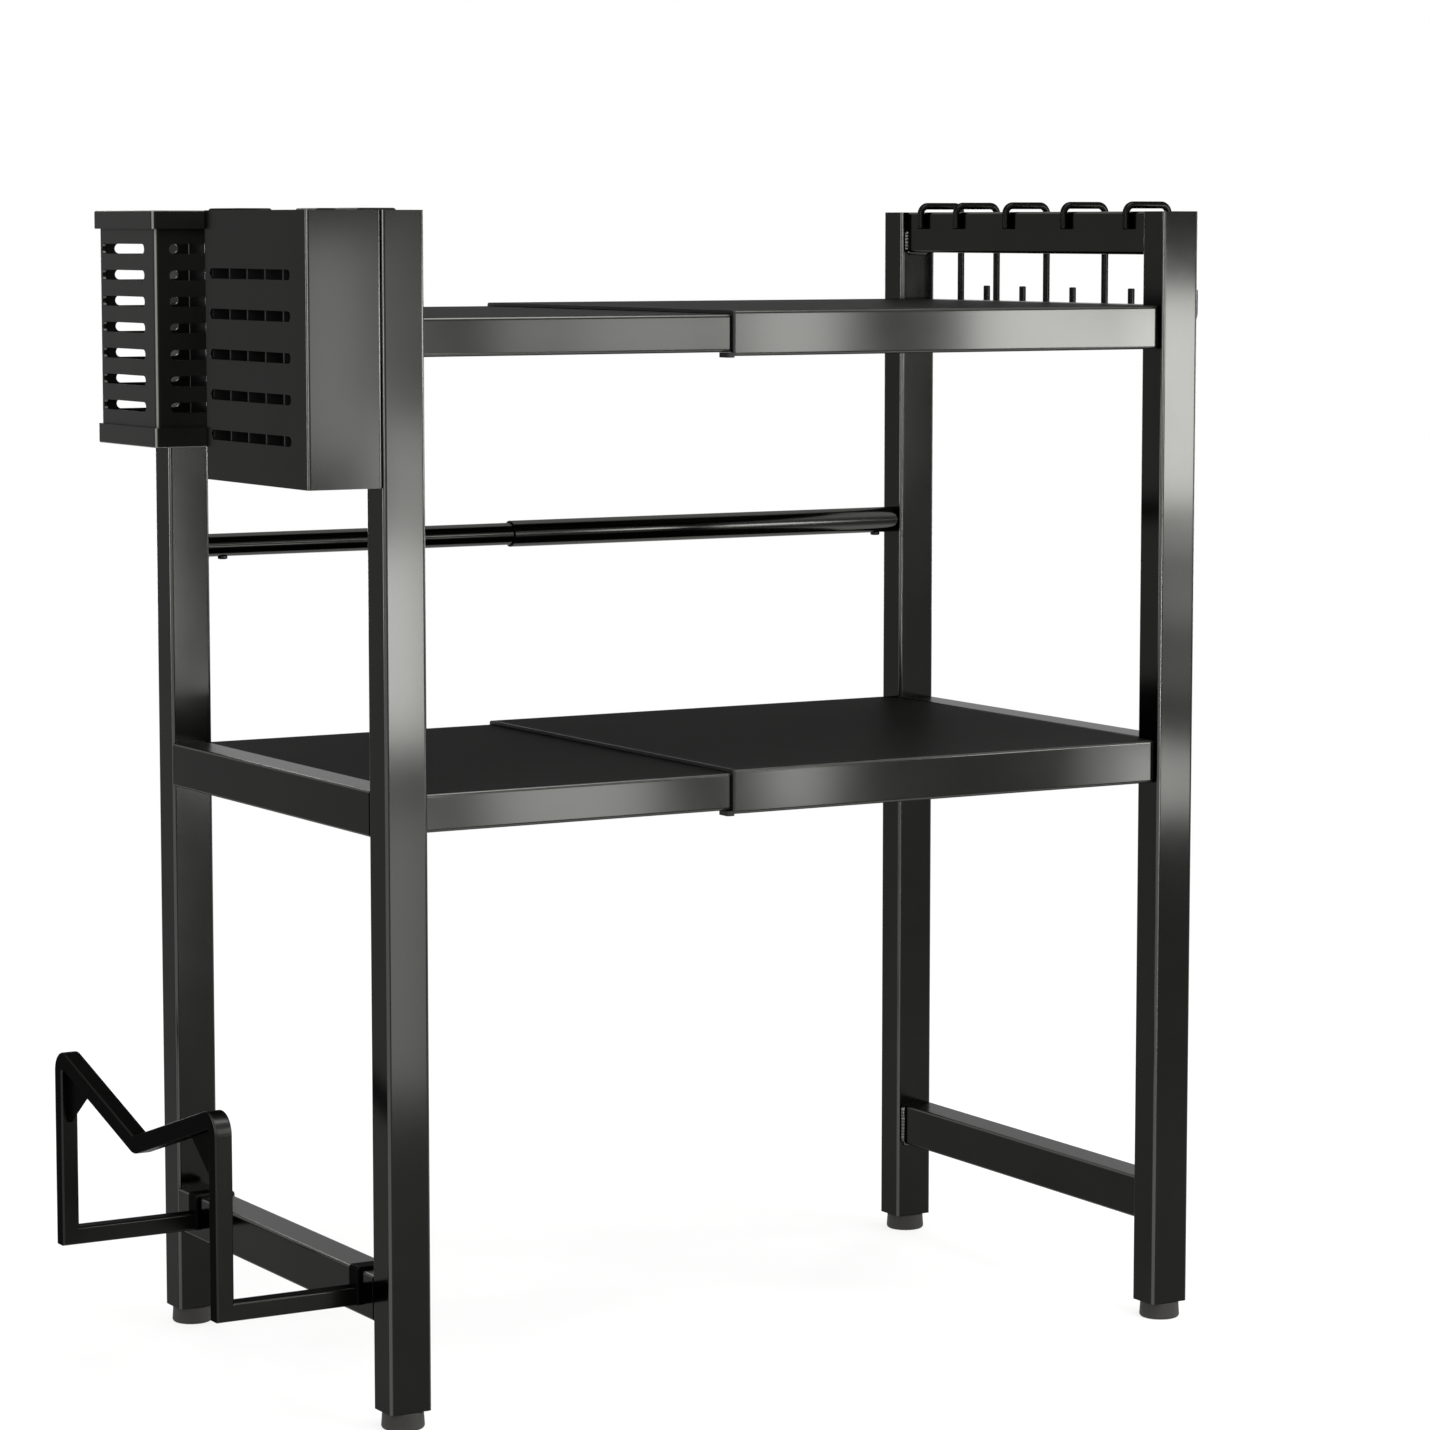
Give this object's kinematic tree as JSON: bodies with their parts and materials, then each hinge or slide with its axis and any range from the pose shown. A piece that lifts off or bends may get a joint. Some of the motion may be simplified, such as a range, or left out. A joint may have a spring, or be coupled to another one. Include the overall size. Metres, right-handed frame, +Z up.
{
  "type": "extendable kitchen appliance stand",
  "caption": "Open steel kitchen stand with shelves that telescope in width, a hung knife block, utensil caddy, board holder and sliding wire hooks.",
  "frame": {"origin": "on the floor, at the middle of the stand's overall width and depth with its accessories hung", "axes": "+X to the right seen from the front, +Y to the rear, +Z up"},
  "size_m": [0.7656, 0.3632, 0.789],
  "materials": {
    "frame_coat": "satin black powder coat",
    "shelf_coat": "satin black powder coat",
    "block_coat": "satin black powder coat",
    "holder_coat": "satin black powder coat",
    "hook_coat": "semi-gloss black coat",
    "guide_plastic": "matt moulded",
    "plug_plastic": "matt moulded",
    "insert_plastic": "matt moulded",
    "caddy_plastic": "satin moulded",
    "foot_rubber": "matt moulded",
    "zinc_steel": "zinc plated"
  },
  "bodies": {
    "left_frame": {"leg_front_left": "frame_coat", "leg_rear_left": "frame_coat", "rail_top_left": "frame_coat", "rail_upper_left": "frame_coat", "rail_middle_left": "frame_coat", "rail_bottom_left": "frame_coat", "leg_plugs_left": "plug_plastic", "leg_inserts_left": "plug_plastic", "rivet_nuts_left": "zinc_steel", "shelf_bolts_left": "zinc_steel", "rear_spigot_left": "zinc_steel", "rear_set_screw_left": "zinc_steel", "shelf_upper_inner": "shelf_coat", "shelf_middle_inner": "shelf_coat", "shelf_upper_stiffeners": "shelf_coat", "shelf_middle_stiffeners": "shelf_coat", "rear_tube_thin": "frame_coat"},
    "right_frame": {"leg_front_right": "frame_coat", "leg_rear_right": "frame_coat", "rail_top_right": "frame_coat", "rail_upper_right": "frame_coat", "rail_middle_right": "frame_coat", "rail_bottom_right": "frame_coat", "leg_plugs_right": "plug_plastic", "leg_inserts_right": "plug_plastic", "rivet_nuts_right": "zinc_steel", "shelf_bolts_right": "zinc_steel", "rear_spigot_right": "zinc_steel", "rear_set_screw_right": "zinc_steel", "shelf_upper_outer": "shelf_coat", "shelf_middle_outer": "shelf_coat", "shelf_upper_guide": "guide_plastic", "shelf_middle_guide": "guide_plastic", "rear_tube_thick": "frame_coat"},
    "foot_front_left": {"foot_pad_front_left": "foot_rubber", "foot_stud_front_left": "zinc_steel"},
    "foot_rear_left": {"foot_pad_rear_left": "foot_rubber", "foot_stud_rear_left": "zinc_steel"},
    "foot_front_right": {"foot_pad_front_right": "foot_rubber", "foot_stud_front_right": "zinc_steel"},
    "foot_rear_right": {"foot_pad_rear_right": "foot_rubber", "foot_stud_rear_right": "zinc_steel"},
    "knife_block": {"knife_block_shell": "block_coat", "knife_block_insert": "insert_plastic"},
    "utensil_caddy": {"caddy_body": "caddy_plastic", "caddy_rim": "caddy_plastic", "caddy_drip_tray": "caddy_plastic", "caddy_strap": "holder_coat", "caddy_rivets": "zinc_steel"},
    "board_holder": {"board_holder_bar": "holder_coat", "board_holder_gussets": "holder_coat", "board_holder_clips": "holder_coat"},
    "hook_1": {"hook_1": "hook_coat"},
    "hook_2": {"hook_2": "hook_coat"},
    "hook_3": {"hook_3": "hook_coat"},
    "hook_4": {"hook_4": "hook_coat"},
    "hook_5": {"hook_5": "hook_coat"}
  },
  "joints": [
    {"name": "width_slide", "type": "slide", "parent": "left_frame", "child": "right_frame", "axis": [1, 0, 0], "range_m": [-0.22, 0.03]},
    {"name": "foot_front_left_screw", "type": "slide", "parent": "left_frame", "child": "foot_front_left", "axis": [0, 0, -1], "range_m": [0, 0.01]},
    {"name": "foot_rear_left_screw", "type": "slide", "parent": "left_frame", "child": "foot_rear_left", "axis": [0, 0, -1], "range_m": [0, 0.01]},
    {"name": "foot_front_right_screw", "type": "slide", "parent": "right_frame", "child": "foot_front_right", "axis": [0, 0, -1], "range_m": [0, 0.01]},
    {"name": "foot_rear_right_screw", "type": "slide", "parent": "right_frame", "child": "foot_rear_right", "axis": [0, 0, -1], "range_m": [0, 0.01]},
    {"name": "knife_block_lift", "type": "slide", "parent": "left_frame", "child": "knife_block", "axis": [0, 0, 1], "range_m": [0, 0.18]},
    {"name": "utensil_caddy_lift", "type": "slide", "parent": "left_frame", "child": "utensil_caddy", "axis": [0, 0, 1], "range_m": [0, 0.16]},
    {"name": "board_holder_lift", "type": "slide", "parent": "left_frame", "child": "board_holder", "axis": [0, 0, 1], "range_m": [0, 0.1]},
    {"name": "hook_1_slide", "type": "slide", "parent": "right_frame", "child": "hook_1", "axis": [0, 1, 0], "range_m": [-0.02, 0.035]},
    {"name": "hook_2_slide", "type": "slide", "parent": "right_frame", "child": "hook_2", "axis": [0, 1, 0], "range_m": [-0.035, 0.034]},
    {"name": "hook_3_slide", "type": "slide", "parent": "right_frame", "child": "hook_3", "axis": [0, 1, 0], "range_m": [-0.034, 0.03]},
    {"name": "hook_4_slide", "type": "slide", "parent": "right_frame", "child": "hook_4", "axis": [0, 1, 0], "range_m": [-0.03, 0.021]},
    {"name": "hook_5_slide", "type": "slide", "parent": "right_frame", "child": "hook_5", "axis": [0, 1, 0], "range_m": [-0.021, 0.02]}
  ]
}
